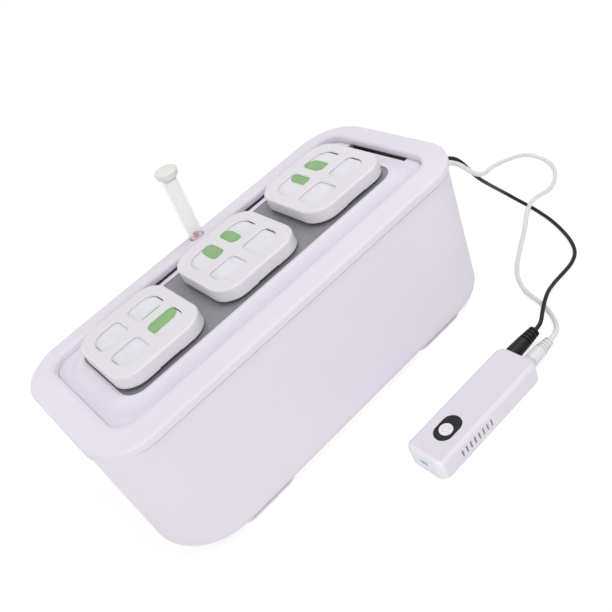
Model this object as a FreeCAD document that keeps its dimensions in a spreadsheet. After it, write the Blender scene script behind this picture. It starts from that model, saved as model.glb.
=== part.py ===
"""Hydroponic planter box with three growing pods, a level tube and a corded pump unit.

Millimetres, +Z up. The origin is the centre of the base on the floor, +X runs along the length
and +Y to the back, where the level tube stands.
"""
import FreeCAD, Part
import math
import os
import Sketcher
from types import SimpleNamespace

from FreeCAD import Placement, Rotation, Vector

SIZES = {
    # water box and rim
    "planter_length": 320.0,
    "planter_width": 148.6,
    "planter_height": 120.5,
    "rim_corner": 35.6,
    "rim_skirt": 6.2,
    "rim_plate": 3.0,
    "rim_overhang": 1.4,
    "rim_gap": 0.2,
    "rim_round": 2.2,
    "rim_rise": 2.4,
    "rim_land": 4.0,
    "rim_crown_round": 8.0,
    "shade_height": 1.6,
    "shade_depth": 0.8,
    "tank_wall": 2.4,
    "tank_floor": 2.6,
    "base_corner": 49.0,
    "base_round": 9.5,
    # plinth
    "foot_height": 2.0,
    "foot_start": 61.0,
    "foot_end": 118.0,
    "foot_width": 137.0,
    "foot_corner": 14.0,
    "foot_link": 100.0,
    # recess in the rim that takes the lid
    "end_band": 20.3,
    "opening_corner": 16.0,
    "opening_round": 2.5,
    "recess_wall": 1.5,
    "recess_depth": 3.2,
    "ledge_width": 5.0,
    "ledge_thickness": 2.0,
    # lid and its panel
    "lid_shift": 1.2,
    "lid_gap": 0.4,
    "flange_thickness": 2.2,
    "notch_depth": 3.1,
    "long_notch": 200.0,
    "end_notch": 63.0,
    "pillow_end_inset": 5.2,
    "pillow_side_inset": 7.9,
    "pillow_corner": 20.0,
    "pillow_end_lean": 11.8,
    "pillow_side_lean": 6.0,
    "pillow_top_corner": 15.3,
    "pillow_rise": 2.1,
    "pillow_round": 3.0,
    "pillow_foot_round": 2.5,
    "lid_skin": 2.2,
    "panel_end_border": 2.0,
    "panel_side_border": 2.75,
    "panel_corner": 13.0,
    "panel_thickness": 1.8,
    "panel_drop": 0.6,
    "panel_gap": 0.2,
    "shelf_relief": 1.0,
    # growing pods
    "cap_spacing": 14.0,
    "cap_end_margin": 0.7,
    "cap_side_margin": 3.0,
    "cap_corner": 17.0,
    "cap_height": 10.0,
    "cap_lift": 2.4,
    "cap_wall": 2.6,
    "cap_top": 1.4,
    "cap_round": 1.8,
    "cap_play": 0.3,
    "window_end_border": 8.8,
    "window_side_border": 11.0,
    "window_corner": 5.0,
    "window_outer_corner": 11.0,
    "window_round": 0.8,
    "bar_across": 7.5,
    "bar_along": 8.0,
    "grip_length": 18.0,
    "grip_height": 0.5,
    "lip_wall": 1.6,
    "flange_seat": 3.5,
    "basket_flange_thickness": 1.9,
    "pod_gap": 0.4,
    "basket_depth": 46.0,
    "basket_taper": 5.1,
    "basket_skin": 1.6,
    "slot_margin": 3.5,
    "slot_width": 4.0,
    "slot_length": 26.0,
    "sponge_gap": 0.1,
    "sponge_drop": 0.05,
    "sponge_round": 0.8,
    "tag_length": 22.0,
    "tag_width": 27.0,
    "tag_thickness": 0.5,
    "tag_corner": 6.5,
    "tag_gap": 0.1,
    # level tube
    "gauge_tilt": 4.45,
    "gauge_place": 4.5,
    "gauge_gap": 0.35,
    "fit_gap": 0.02,
    "tube_diameter": 12.4,
    "tube_wall": 1.2,
    "tube_rise": 55.0,
    "tube_foot_gap": 12.0,
    "inlet_width": 3.0,
    "inlet_height": 14.0,
    "gauge_cap_diameter": 18.0,
    "gauge_cap_height": 5.5,
    "gauge_cap_taper": 0.8,
    "gauge_cap_round": 1.8,
    "gauge_cap_spigot": 3.5,
    "end_ring_height": 3.0,
    "end_ring_bore": 5.0,
    "float_play": 0.5,
    "float_length": 20.0,
    "float_rest_gap": 0.8,
    "stem_diameter": 2.0,
    "disc_thickness": 1.0,
    "disc_rise": 1.6,
    "marker_diameter": 4.0,
    "marker_length": 3.6,
    # cord grommet in the end wall
    "grommet_side": 37.0,
    "grommet_drop": 25.75,
    "grommet_width": 9.0,
    "grommet_height": 14.0,
    "grommet_corner": 4.4,
    "grommet_border": 3.0,
    "grommet_head": 2.6,
    "grommet_tail": 2.0,
    "lead_diameter": 3.0,
    "hose_diameter": 3.6,
    # circulation pump on the tank floor
    "pump_end_gap": 27.2,
    "pump_side": 30.0,
    "pump_length": 38.0,
    "pump_width": 28.0,
    "pump_corner": 5.0,
    "pump_cover": 7.0,
    "pump_foot": 4.0,
    "pump_foot_diameter": 9.0,
    "pump_foot_inset": 7.0,
    "chamber_diameter": 20.0,
    "chamber_depth": 9.0,
    "impeller_gap": 0.8,
    "hub_diameter": 6.0,
    "pin_diameter": 2.0,
    "pin_gap": 0.05,
    "blade_thickness": 1.6,
    "intake_width": 2.0,
    "intake_height": 16.0,
    "intake_pitch": 4.4,
    "spout_diameter": 9.0,
    "spout_bore": 6.0,
    "spout_height": 8.0,
    "spout_place": 16.0,
    "boss_diameter": 6.0,
    "boss_height": 4.0,
    "boss_place": 33.0,
    # air stone on the tank floor
    "stone_end_gap": 18.2,
    "stone_start": 5.0,
    "stone_length": 30.0,
    "stone_diameter": 12.0,
    "nipple_diameter": 5.0,
    "nipple_length": 4.0,
    # unit housing
    "unit_setback": 68.4,
    "unit_side": 144.4,
    "unit_length": 100.7,
    "unit_width": 32.5,
    "unit_height": 16.5,
    "unit_corner": 7.0,
    "unit_wall": 1.8,
    "unit_end_wall": 2.4,
    "hollow_corner": 1.5,
    "unit_round": 3.2,
    "unit_foot_round": 1.5,
    "end_cap_length": 4.0,
    "spigot_length": 3.0,
    "spigot_wall": 1.2,
    "vent_start": 20.3,
    "vent_pitch": 4.1,
    "vent_width": 1.4,
    "vent_height": 6.4,
    "line_level": 8.0,
    "lead_side": 9.0,
    "hose_side": 5.6,
    # button and circuit board
    "bezel_place": 26.6,
    "bezel_length": 22.0,
    "bezel_width": 14.5,
    "bezel_thickness": 0.6,
    "button_place": 25.0,
    "button_diameter": 9.6,
    "button_gap": 0.3,
    "button_proud": 0.7,
    "button_flange": 12.4,
    "button_flange_thickness": 1.4,
    "button_travel": 0.6,
    "key_gap": 0.1,
    "key_width": 6.0,
    "key_height": 3.2,
    "plunger_diameter": 3.4,
    "board_start": 5.0,
    "board_length": 51.0,
    "board_width": 23.4,
    "board_thickness": 1.2,
    "board_level": 7.6,
    "rib_thickness": 1.6,
    "port_width": 7.6,
    "port_height": 2.8,
    "port_length": 8.0,
    "port_wall": 0.5,
    "port_corner": 1.2,
    "port_inset": 1.0,
    "port_gap": 0.1,
    "battery_start": 32.5,
    "battery_length": 22.0,
    "battery_width": 21.0,
    "battery_height": 5.0,
    "battery_round": 1.5,
    # air pump in the unit
    "motor_start": 58.0,
    "motor_length": 14.0,
    "motor_diameter": 9.0,
    "shaft_diameter": 1.5,
    "shaft_length": 3.5,
    "shaft_gap": 0.05,
    "crank_diameter": 7.0,
    "crank_thickness": 2.0,
    "crank_gap": 1.0,
    "crank_pin_diameter": 1.6,
    "crank_pin_length": 2.5,
    "crank_throw": 2.2,
    "head_length": 13.0,
    "head_width": 9.0,
    "head_corner": 2.0,
    "nozzle_diameter": 4.6,
    "nozzle_bore": 2.4,
    "nozzle_length": 6.0,
    "hole_gap": 0.2,
    "socket_width": 7.8,
    "socket_length": 11.0,
    "barrel_diameter": 5.5,
    "barrel_bore": 2.1,
    "barrel_length": 9.5,
    "barrel_gap": 0.05,
    # lead plug and hose connector
    "plug_diameter": 11.5,
    "plug_shoulder": 10.2,
    "plug_body": 15.0,
    "plug_length": 27.0,
    "plug_tip": 8.2,
    "plug_rib_depth": 0.8,
    "connector_diameter": 10.0,
    "connector_collar": 2.5,
    "connector_groove": 0.6,
    "connector_shoulder": 9.4,
    "connector_body": 14.0,
    "connector_length": 24.5,
    "connector_tip": 6.4,
    "connector_rib_depth": 0.7,
}

POD_COUNT = 3
SLOT_COUNT = 5
VENT_COUNT = 8
INTAKE_COUNT = 5
RIB_COUNT = 4
SPONGE_SHARE = 0.54

# Where each pod's tag lies: inset from the sponge's right side, inset from its back and turn in degrees.
TAG_PLACES = [(14.4, 31.95, 92.0), (26.9, 12.4, 88.0), (25.0, 14.0, 91.0)]

# Routes of the lines, with x counted from the outside of the right end wall.
# The first two lie free outside the box, the last two hang inside it.
LEAD_ROUTE = [
    (2.6, -35, 98), (8.1, -35, 98), (13.8, -35.8, 96.1), (18.9, -37.1, 92.3), (22.8, -38.3, 86.6),
    (26, -39.4, 79.2), (31.4, -40.6, 66.5), (40.4, -38.5, 54), (50.9, -33.5, 41), (60.9, -28.5, 29),
    (68.9, -27, 18.5), (73.9, -31, 10), (76.4, -39, 4.2), (74.9, -51, 1.8), (69.9, -67, 1.5),
    (62.4, -83.5, 1.5), (53.9, -98, 1.5), (44.4, -108.5, 1.5), (32.9, -113, 1.5), (19.9, -114, 2.2),
    (7.4, -116, 4.6), (-5.1, -120.3, 8.2), (-13.1, -123.9, 8.7), (-19.1, -126.8, 8.6),
    (-25.6, -130.4, 8.3), (-31, -133.6, 8.1), (-36.2, -135.4, 8), (-41.4, -135.4, 8),
]
HOSE_ROUTE = [
    (2.6, -39.2, 95.6), (7.6, -39.2, 95.6), (12.2, -40.7, 94), (16, -43, 90.4), (18.7, -45.3, 85.6),
    (21.8, -47.6, 79.8), (26.8, -48.8, 74), (35.4, -47, 68.9), (48.4, -38, 62), (65.9, -28, 51),
    (84.4, -17.5, 39), (102.4, -8.5, 27), (117.4, 1, 16.5), (128.4, 0, 11), (134.9, -7.5, 5.5),
    (134.9, -18.5, 2.2), (128.4, -28.5, 1.8), (118.9, -36.5, 1.8), (108.4, -41.5, 1.8),
    (97.4, -43.8, 4), (88.4, -44.8, 7.8), (79.9, -45.3, 10.2), (70.4, -46.8, 10.2), (61.4, -50.2, 7.5),
    (52.4, -55, 3.2), (40.4, -60.8, 1.8), (26.4, -68.5, 1.8), (14.4, -75.5, 1.8), (4.4, -83.5, 1.8),
    (-3.1, -93, 1.8), (-8.6, -103.5, 1.8), (-11.1, -115, 1.8), (-15.7, -126.5, 1.8), (-20.8, -135.4, 2.7),
    (-27.4, -143, 5.4), (-32.6, -148, 7.7), (-38.4, -150, 8), (-43.9, -150, 8),
]
INNER_LEAD_ROUTE = [
    (-34.6, -30, 40.6), (-34.6, -30, 47), (-34.2, -30.2, 54), (-32.6, -30.8, 63), (-29.1, -31.8, 75),
    (-22.9, -33.6, 89.8), (-16.2, -34.8, 95.8), (-10.1, -35, 98), (-4.4, -35, 98),
]
INNER_HOSE_ROUTE = [
    (-4.4, -39.2, 95.6), (-9, -39.2, 95.6), (-13.5, -39, 93.5), (-17.4, -38.4, 88.9),
    (-18.4, -37.6, 79), (-18.4, -36.6, 63), (-18.8, -35.4, 48), (-19.6, -33.6, 35), (-20.2, -30, 24.2),
    (-20.5, -25.4, 16.4), (-20.6, -19.5, 12), (-20.6, -14.6, 10.6), (-20.6, -9, 10.6),
]
ARC_SHARE = 0.45
TOLERANCE = 0.01


class Size:
    """A length with its number and the sheet formula that gives it."""

    def __init__(self, number, text):
        self.number = number
        self.text = text

    def __add__(self, other):
        other = as_size(other)
        return Size(self.number + other.number, f"({self.text} + {other.text})")

    def __sub__(self, other):
        other = as_size(other)
        return Size(self.number - other.number, f"({self.text} - {other.text})")

    def __mul__(self, factor):
        return Size(self.number * factor, f"({self.text} * {factor})")

    def __truediv__(self, divisor):
        return Size(self.number / divisor, f"({self.text} / {divisor})")

    def __neg__(self):
        return Size(-self.number, f"(0 - {self.text})")


def as_size(value):
    if isinstance(value, Size):
        return value
    return Size(float(value), repr(float(value)))


doc = FreeCAD.newDocument("planter")
sheet = doc.addObject("Spreadsheet::Sheet", "dims")
S = SimpleNamespace()
for row, (name, value) in enumerate(SIZES.items(), start=1):
    sheet.set(f"A{row}", name)
    sheet.set(f"B{row}", str(value))
    sheet.setAlias(f"B{row}", name)
    setattr(S, name, Size(value, f"dims.{name}"))
doc.recompute()

nodes = []


# Building blocks

def bind(thing, path, size):
    thing.setExpression(path, as_size(size).text)


def place_at(thing, place):
    for axis, size in zip("xyz", place):
        bind(thing, f"Placement.Base.{axis}", size)


def new_body(label, place=(0, 0, 0)):
    body = doc.addObject("PartDesign::Body", label)
    body.Label = label
    place_at(body, place)
    nodes.append(body)
    return body


def new_sketch(body, role, shift=(0, 0, 0)):
    sketch = body.newObject("Sketcher::SketchObject", body.Label + "_sketch")
    plane = next(feature for feature in body.Origin.OriginFeatures if feature.Role == role)
    sketch.AttachmentSupport = [(plane, "")]
    sketch.MapMode = "FlatFace"
    for axis, size in zip("xyz", shift):
        bind(sketch, f"AttachmentOffset.Base.{axis}", size)
    return sketch


def flat_sketch(body, level, x=0, y=0):
    """A sketch at a height, with u along X and v along Y."""
    return new_sketch(body, "XY_Plane", (x, y, level))


def front_sketch(body, depth, x=0, z=0):
    """A sketch facing the front at a place along Y, with u along X and v along Z."""
    return new_sketch(body, "XZ_Plane", (x, z, -as_size(depth)))


def end_sketch(body, reach, y=0, z=0):
    """A sketch across the length at a place along X, with u along Y and v along Z."""
    return new_sketch(body, "YZ_Plane", (y, z, reach))


def hold_point(sketch, geometry, end, u, v):
    """Tie one end of a line, or a circle's centre, to its distances from the sketch origin."""
    for kind, axis, size in (("DistanceX", -2, as_size(u)), ("DistanceY", -1, as_size(v))):
        hold_side(sketch, kind, axis, geometry, end, size)


def hold_side(sketch, kind, axis, geometry, end, size):
    if size.number == 0:
        sketch.addConstraint(Sketcher.Constraint("PointOnObject", geometry, end, axis))
    elif size.number > 0:
        index = sketch.addConstraint(Sketcher.Constraint(kind, -1, 1, geometry, end, size.number))
        bind(sketch, f"Constraints[{index}]", size)
    else:
        index = sketch.addConstraint(Sketcher.Constraint(kind, geometry, end, -1, 1, -size.number))
        bind(sketch, f"Constraints[{index}]", -size)


def hold_radius(sketch, kind, geometry, size):
    index = sketch.addConstraint(Sketcher.Constraint(kind, geometry, size.number))
    bind(sketch, f"Constraints[{index}]", size)


def polygon(sketch, points):
    """A closed outline of straight lines through points given as sizes."""
    corners = [(as_size(u), as_size(v)) for u, v in points]
    spots = [Vector(u.number, v.number, 0) for u, v in corners]
    lines = [sketch.addGeometry(Part.LineSegment(spots[i - 1], spots[i])) for i in range(len(spots))]
    for i, line in enumerate(lines):
        following = lines[(i + 1) % len(lines)]
        sketch.addConstraint(Sketcher.Constraint("Coincident", line, 2, following, 1))
        hold_point(sketch, line, 2, *corners[i])


def rectangle(sketch, length, width, u=0, v=0):
    left, right = as_size(u) - length / 2, as_size(u) + length / 2
    low, high = as_size(v) - width / 2, as_size(v) + width / 2
    polygon(sketch, [(left, low), (right, low), (right, high), (left, high)])


def rounded_rectangle(sketch, length, width, radii, u=0, v=0):
    """A rectangle with one corner radius, or four from low left, counter-clockwise."""
    radii = list(radii) if isinstance(radii, (list, tuple)) else [radii] * 4
    left, right = as_size(u) - length / 2, as_size(u) + length / 2
    low, high = as_size(v) - width / 2, as_size(v) + width / 2
    x0, x1, y0, y1 = left.number, right.number, low.number, high.number
    r = [radius.number for radius in radii]
    centres = [
        (x0 + r[0], y0 + r[0]), (x1 - r[1], y0 + r[1]), (x1 - r[2], y1 - r[2]), (x0 + r[3], y1 - r[3]),
    ]
    sides = [
        ((centres[0][0], y0), (centres[1][0], y0)),
        ((x1, centres[1][1]), (x1, centres[2][1])),
        ((centres[2][0], y1), (centres[3][0], y1)),
        ((x0, centres[3][1]), (x0, centres[0][1])),
    ]
    lines = [sketch.addGeometry(Part.LineSegment(Vector(*a, 0), Vector(*b, 0))) for a, b in sides]
    arcs = []
    for i, (cx, cy) in enumerate(centres):
        circle = Part.Circle(Vector(cx, cy, 0), Vector(0, 0, 1), r[i])
        start = math.pi * (1 + i / 2)
        arcs.append(sketch.addGeometry(Part.ArcOfCircle(circle, start, start + math.pi / 2)))
    for i in range(4):
        sketch.addConstraint(Sketcher.Constraint("Tangent", arcs[i], 2, lines[i], 1))
        sketch.addConstraint(Sketcher.Constraint("Tangent", lines[i], 2, arcs[(i + 1) % 4], 1))
        sketch.addConstraint(Sketcher.Constraint("Horizontal" if i % 2 == 0 else "Vertical", lines[i]))
        hold_radius(sketch, "Radius", arcs[i], radii[i])
    hold_side(sketch, "DistanceY", -1, lines[0], 1, low)
    hold_side(sketch, "DistanceX", -2, lines[1], 1, right)
    hold_side(sketch, "DistanceY", -1, lines[2], 1, high)
    hold_side(sketch, "DistanceX", -2, lines[3], 1, left)


def circle(sketch, diameter, u=0, v=0):
    u, v = as_size(u), as_size(v)
    ring = Part.Circle(Vector(u.number, v.number, 0), Vector(0, 0, 1), diameter.number / 2)
    index = sketch.addGeometry(ring)
    hold_radius(sketch, "Diameter", index, diameter)
    hold_point(sketch, index, 3, u, v)


def pad(body, sketch, length, backwards=False):
    feature = body.newObject("PartDesign::Pad", body.Label + "_pad")
    feature.Profile = sketch
    feature.Reversed = backwards
    bind(feature, "Length", length)
    return feature


def pocket(body, sketch, depth, both_ways=False, backwards=False):
    """Cut against the sketch's normal, along it if backwards, or half the depth each way."""
    feature = body.newObject("PartDesign::Pocket", body.Label + "_pocket")
    feature.Profile = sketch
    feature.Reversed = backwards
    if both_ways:
        feature.SideType = "Symmetric"
    bind(feature, "Length", depth)
    return feature


def loft(body, kind, lowest, *higher):
    feature = body.newObject(f"PartDesign::{kind}", body.Label + "_loft")
    feature.Profile = lowest
    feature.Sections = list(higher)
    feature.Ruled = True
    return feature


def revolve(body, sketch, axis):
    feature = body.newObject("PartDesign::Revolution", body.Label + "_turned")
    feature.Profile = sketch
    feature.ReferenceAxis = (sketch, [axis])
    feature.Angle = 360
    return feature


def repeat(body, feature, sketch, axis, pitch, count):
    doc.recompute()
    pattern = body.newObject("PartDesign::LinearPattern", body.Label + "_row")
    pattern.Originals = [feature]
    pattern.Direction = (sketch, [axis])
    bind(pattern, "Length", pitch * (count - 1))
    pattern.Occurrences = count
    body.Tip = pattern


def fillet(body, radius, chosen):
    """Round the edges of the body so far whose bounding box is chosen."""
    doc.recompute()
    base = body.Tip
    edges = [f"Edge{i}" for i, edge in enumerate(base.Shape.Edges, start=1) if chosen(edge.BoundBox)]
    feature = body.newObject("PartDesign::Fillet", body.Label + "_fillet")
    feature.Base = (base, edges)
    bind(feature, "Radius", radius)


def near(a, b):
    return abs(a - b) < TOLERANCE


def level_edges(level):
    return lambda box: near(box.ZMin, level.number) and near(box.ZMax, level.number)


def end_edges(reach):
    return lambda box: near(box.XMin, reach.number) and near(box.XMax, reach.number)


def lies_within(box, length, width, x=0.0):
    """Whether a bounding box lies inside a rectangle centred on the X axis."""
    half_length = length.number / 2 + TOLERANCE
    half_width = width.number / 2 + TOLERANCE
    return max(x - box.XMin, box.XMax - x) < half_length and max(-box.YMin, box.YMax) < half_width


def lean(thing, name):
    """Lean a body or a sketch as the level tube leans."""
    setattr(thing, name, Placement(Vector(), Rotation(Vector(0, 1, 0), S.gauge_tilt.number)))
    bind(thing, f"{name}.Rotation.Angle", S.gauge_tilt)


def turn(thing, name, degrees):
    """Turn a body or a sketch about the upright axis."""
    setattr(thing, name, Placement(Vector(), Rotation(Vector(0, 0, 1), degrees)))


def tube_along(label, route, diameter):
    """A round tube along straight runs joined by tangent arcs as large as the runs allow."""
    points = [Vector(*point) for point in route]
    edges = []
    radii = []
    start = points[0]
    for before, corner, after in zip(points, points[1:], points[2:]):
        back, ahead = before - corner, after - corner
        half_turn = (math.pi - back.getAngle(ahead)) / 2
        reach = ARC_SHARE * min(back.Length, ahead.Length)
        radius = reach / math.tan(half_turn)
        entry = corner + back.normalize() * reach
        leave = corner + ahead.normalize() * reach
        inward = (back + ahead).normalize()
        middle = corner + inward * (radius / math.cos(half_turn) - radius)
        edges.append(Part.LineSegment(start, entry).toShape())
        edges.append(Part.Arc(entry, middle, leave).toShape())
        radii.append(radius)
        start = leave
    edges.append(Part.LineSegment(start, points[-1]).toShape())
    path = Part.Wire(edges)
    section = Part.Wire([Part.makeCircle(diameter / 2, points[0], points[1] - points[0])])
    tube = doc.addObject("Part::Feature", label)
    tube.Label = label
    tube.Shape = path.makePipeShell([section], True, False)
    place_at(tube, (wall_end, 0, 0))
    plain = math.pi * diameter ** 2 / 4 * path.Length
    print(f"{label}: length {path.Length:.1f}, smallest radius {min(radii):.1f},"
          f" volume {tube.Shape.Volume:.1f} against {plain:.1f}")
    nodes.append(tube)


# Sizes that several pieces share

rim_top = S.planter_height
tank_length = S.planter_length - S.rim_overhang * 2
tank_width = S.planter_width - S.rim_overhang * 2
tank_corner = S.rim_corner - S.rim_overhang
tank_top = rim_top - S.rim_plate
floor_top = S.foot_height + S.tank_floor
inner_length = tank_length - S.tank_wall * 2
inner_width = tank_width - S.tank_wall * 2
wall_end = tank_length / 2
inner_end = inner_length / 2
gauge_band = S.rim_overhang + S.tank_wall + S.gauge_gap * 2 + S.tube_diameter + S.recess_wall
opening_length = S.planter_length - S.end_band * 2
opening_width = S.planter_width - gauge_band * 2
gauge_side = opening_width / 2 + S.recess_wall + S.gauge_gap + S.tube_diameter / 2
crown = rim_top + S.rim_rise
flange_top = rim_top - S.recess_depth
flange_low = flange_top - S.flange_thickness
plateau = rim_top + S.pillow_rise
pillow_length = opening_length - S.pillow_end_inset * 2
pillow_width = opening_width - S.pillow_side_inset * 2
pillow_top_length = pillow_length - S.pillow_end_lean * 2
pillow_top_width = pillow_width - S.pillow_side_lean * 2
panel_length = pillow_top_length - S.panel_end_border * 2
panel_width = pillow_top_width - S.panel_side_border * 2
panel_top = plateau - S.panel_drop
shelf_top = panel_top - S.panel_thickness
cap_length = (panel_length - S.cap_end_margin * 2 - S.cap_spacing * (POD_COUNT - 1)) / POD_COUNT
cap_width = panel_width - S.cap_side_margin * 2
lip_inset = S.cap_wall + S.cap_play
lip_length = cap_length - lip_inset * 2
lip_width = cap_width - lip_inset * 2
lip_corner = S.cap_corner - lip_inset
lip_top = S.cap_lift + S.cap_height - S.cap_top
hole_length = lip_length - S.flange_seat * 2
hole_width = lip_width - S.flange_seat * 2
hole_corner = lip_corner - S.flange_seat
cup_length = hole_length - S.pod_gap * 2
cup_width = hole_width - S.pod_gap * 2
cup_corner = hole_corner - S.pod_gap
mouth_length = cup_length - S.basket_skin * 2
mouth_width = cup_width - S.basket_skin * 2
mouth_corner = cup_corner - S.basket_skin
sponge_length = mouth_length - S.sponge_gap * 2
sponge_width = mouth_width - S.sponge_gap * 2
sponge_top = lip_top - S.sponge_drop
tube_bore = S.tube_diameter - S.tube_wall * 2
tube_foot = floor_top + S.tube_foot_gap - rim_top
grommet_level = rim_top - S.grommet_drop
pump_low = floor_top + S.pump_foot
board_top = S.board_level + S.board_thickness
unit_roof = S.unit_height - S.unit_wall
bezel_low = S.unit_height - S.bezel_thickness
far_wall = S.unit_length - S.unit_end_wall
pump_start = inner_end - S.pump_end_gap - S.pump_length
unit_start = wall_end - S.unit_setback - S.unit_length
unit_end = unit_start + S.unit_length
pod_steps = [(cap_length + S.cap_spacing) * (pod - (POD_COUNT - 1) / 2) for pod in range(POD_COUNT)]


# Water box

def make_tank():
    """A box with a rounded base band, whose corners tighten from there to the rim."""
    body = new_body("tank_shell")
    band_top = floor_top + S.base_round
    base = flat_sketch(body, S.foot_height)
    rounded_rectangle(base, tank_length, tank_width, S.base_corner)
    pad(body, base, band_top - S.foot_height)
    fillet(body, S.base_round, level_edges(S.foot_height))
    low, high = flat_sketch(body, band_top), flat_sketch(body, tank_top)
    rounded_rectangle(low, tank_length, tank_width, S.base_corner)
    rounded_rectangle(high, tank_length, tank_width, tank_corner)
    loft(body, "AdditiveLoft", low, high)
    bevel = S.base_round / 2
    inner_corner = S.base_corner - S.tank_wall
    sections = []
    for level, shrink, corner in (
        (floor_top, bevel, inner_corner - bevel),
        (floor_top + bevel, as_size(0), inner_corner),
        (tank_top, as_size(0), tank_corner - S.tank_wall),
    ):
        sections.append(flat_sketch(body, level))
        rounded_rectangle(sections[-1], inner_length - shrink * 2, inner_width - shrink * 2, corner)
    loft(body, "SubtractiveLoft", *sections)
    shade = flat_sketch(body, rim_top - S.rim_skirt)
    for spread in (S.rim_overhang, -S.shade_depth):
        rounded_rectangle(shade, tank_length + spread * 2, tank_width + spread * 2, tank_corner + spread)
    pocket(body, shade, S.shade_height)
    hole = end_sketch(body, wall_end, -S.grommet_side, grommet_level)
    clearance = S.fit_gap * 2
    rounded_rectangle(hole, S.grommet_width + clearance, S.grommet_height + clearance, S.grommet_corner)
    pocket(body, hole, S.base_round)


def make_plinth():
    body = new_body("base_plinth")
    pad_length = S.foot_end - S.foot_start
    pad_place = (S.foot_end + S.foot_start) / 2
    for place in (-pad_place, pad_place):
        sketch = flat_sketch(body, 0, place)
        rounded_rectangle(sketch, pad_length, S.foot_width, S.foot_corner)
        pad(body, sketch, S.foot_height)
    link = flat_sketch(body, 0)
    rectangle(link, pad_place * 2, S.foot_link)
    pad(body, link, S.foot_height)


def make_collar():
    """A skirted rim that rises to the opening, with a ledge in the opening for the lid."""
    body = new_body("rim_collar")
    outline = flat_sketch(body, rim_top)
    rounded_rectangle(outline, S.planter_length, S.planter_width, S.rim_corner)
    pad(body, outline, S.rim_skirt, backwards=True)
    fillet(body, S.rim_round, level_edges(rim_top))
    low, high = flat_sketch(body, rim_top), flat_sketch(body, crown, S.lid_shift)
    shrink, land = S.rim_round * 2, S.rim_land * 2
    rounded_rectangle(low, S.planter_length - shrink, S.planter_width - shrink, S.rim_corner - S.rim_round)
    rounded_rectangle(high, opening_length + land, opening_width + land, S.opening_corner + S.rim_land)
    loft(body, "AdditiveLoft", low, high)
    crown_edges = level_edges(crown)
    fillet(body, S.rim_crown_round, crown_edges)
    seat = flat_sketch(body, tank_top)
    gap = S.rim_gap
    rounded_rectangle(seat, tank_length + gap * 2, tank_width + gap * 2, tank_corner + gap)
    pocket(body, seat, S.rim_skirt - S.rim_plate)
    wall_length = opening_length + S.recess_wall * 2
    wall_width = opening_width + S.recess_wall * 2
    wall = flat_sketch(body, tank_top, S.lid_shift)
    rounded_rectangle(wall, wall_length, wall_width, S.opening_corner + S.recess_wall)
    wall_depth = tank_top - flange_low + S.ledge_thickness
    pad(body, wall, wall_depth, backwards=True)
    recess = flat_sketch(body, crown, S.lid_shift)
    rounded_rectangle(recess, opening_length, opening_width, S.opening_corner)
    pocket(body, recess, crown - flange_low)
    inside = flat_sketch(body, flange_low, S.lid_shift)
    inside_length = opening_length - S.ledge_width * 2
    inside_width = opening_width - S.ledge_width * 2
    rounded_rectangle(inside, inside_length, inside_width, S.opening_corner - S.ledge_width)
    pocket(body, inside, S.ledge_thickness)
    for length, width, along in (
        (S.long_notch, wall_width, as_size(0)), (wall_length / 2, S.end_notch, wall_length / 4),
    ):
        clearing = flat_sketch(body, tank_top, S.lid_shift)
        rectangle(clearing, length, width, along)
        pocket(body, clearing, wall_depth)
    middle = S.lid_shift.number
    fillet(
        body, S.opening_round,
        lambda box: crown_edges(box) and lies_within(box, opening_length, opening_width, middle),
    )
    hole = flat_sketch(body, rim_top, S.gauge_place, gauge_side)
    lean(hole, "AttachmentOffset")
    circle(hole, S.tube_diameter + S.fit_gap * 2)
    pocket(body, hole, S.rim_skirt * 2, both_ways=True)


def make_grommet():
    body = new_body("cord_grommet")
    head = end_sketch(body, wall_end, -S.grommet_side, grommet_level)
    border = S.grommet_border * 2
    head_corner = S.grommet_corner + S.grommet_border
    rounded_rectangle(head, S.grommet_width + border, S.grommet_height + border, head_corner)
    pad(body, head, S.grommet_head)
    neck = end_sketch(body, wall_end, -S.grommet_side, grommet_level)
    rounded_rectangle(neck, S.grommet_width, S.grommet_height, S.grommet_corner)
    pad(body, neck, S.tank_wall + S.grommet_tail, backwards=True)


# Lid and growing pods

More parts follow.
